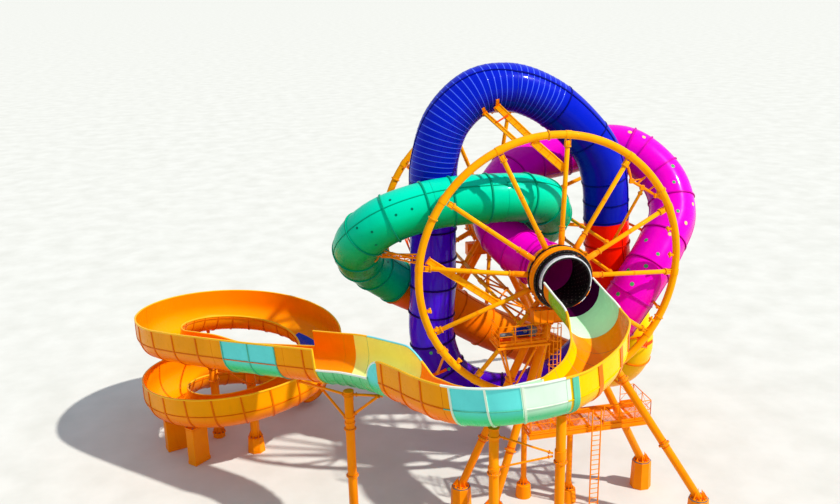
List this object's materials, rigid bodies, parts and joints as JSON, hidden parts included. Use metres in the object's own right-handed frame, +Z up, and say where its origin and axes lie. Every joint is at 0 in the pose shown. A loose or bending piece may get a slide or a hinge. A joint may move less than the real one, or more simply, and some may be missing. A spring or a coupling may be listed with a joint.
{
  "type": "rotating wheel water slide tower",
  "caption": "Water slide tower: a closed slide tube wound between two turning spoked wheels on trestles, leaving through the hub into an open flume and helix.",
  "frame": {"origin": "on the ground, under the middle of the bounding box", "axes": "+Z is up, -Y is the side that the open flume leaves from, +X is the riders' left there"},
  "size_m": [34.2588, 29.0153, 23.9976],
  "materials": {
    "green_fibreglass": "gloss gelcoat",
    "orange_fibreglass": "gloss gelcoat",
    "red_fibreglass": "gloss gelcoat",
    "yellow_fibreglass": "gloss gelcoat",
    "blue_fibreglass": "gloss gelcoat",
    "violet_fibreglass": "gloss gelcoat",
    "magenta_fibreglass": "gloss gelcoat",
    "mint_fibreglass": "gloss gelcoat",
    "cyan_fibreglass": "gloss gelcoat",
    "cream_fibreglass": "gloss gelcoat",
    "yellow_steel": "gloss paint",
    "orange_steel": "gloss paint"
  },
  "bodies": {
    "frame": {"flume_orange_bend": "orange_fibreglass", "flume_orange_step": "orange_fibreglass", "helix_entry": "orange_fibreglass", "helix_upper_left": "orange_fibreglass", "helix_upper_back": "orange_fibreglass", "helix_lower_front": "orange_fibreglass", "helix_lower_back": "orange_fibreglass", "flume_yellow_bend": "yellow_fibreglass", "flume_mint_start": "mint_fibreglass", "flume_white": "mint_fibreglass", "flume_cyan": "cyan_fibreglass", "helix_cyan": "cyan_fibreglass", "flume_cream": "cream_fibreglass", "front_bearing_housing": "orange_steel", "front_leg_left_inner": "orange_steel", "front_leg_right_inner": "orange_steel", "front_leg_left_outer": "orange_steel", "front_leg_right_outer": "orange_steel", "rear_bearing_housing": "orange_steel", "rear_leg_left_inner": "orange_steel", "rear_leg_right_inner": "orange_steel", "rear_leg_left_outer": "orange_steel", "rear_leg_right_outer": "orange_steel", "column_bend": "orange_steel", "column_cyan": "orange_steel", "column_step": "orange_steel", "column_helix": "orange_steel", "column_helix_left": "orange_steel", "helix_plinth_front": "orange_steel", "helix_plinth_left": "orange_steel", "service_gallery": "orange_steel", "gallery_railing_front": "orange_steel", "gallery_railing_right": "orange_steel", "gallery_railing_left": "orange_steel", "ground_ladder": "orange_steel", "hub_deck": "orange_steel", "hub_deck_railing": "orange_steel"},
    "wheel": {"entry_tube": "green_fibreglass", "green_tube_front": "green_fibreglass", "green_tube_return": "green_fibreglass", "orange_tube_lower": "orange_fibreglass", "yellow_tube": "yellow_fibreglass", "red_tube": "red_fibreglass", "blue_tube_right": "blue_fibreglass", "blue_tube_left": "blue_fibreglass", "violet_tube": "violet_fibreglass", "purple_tube": "violet_fibreglass", "magenta_tube_outer": "magenta_fibreglass", "magenta_tube_rear": "magenta_fibreglass", "magenta_tube_exit": "magenta_fibreglass", "front_ring_upper": "yellow_steel", "front_ring_lower": "yellow_steel", "front_hub": "orange_steel", "front_spokes": "yellow_steel", "rear_ring_upper": "yellow_steel", "rear_ring_lower": "yellow_steel", "rear_hub": "orange_steel", "rear_spokes": "yellow_steel"}
  },
  "joints": [
    {"name": "wheel_spin", "type": "hinge", "parent": "frame", "child": "wheel", "pos_m": [6.248, -3.0065, 13.1], "axis": [0, 1, 0], "continuous": true}
  ]
}
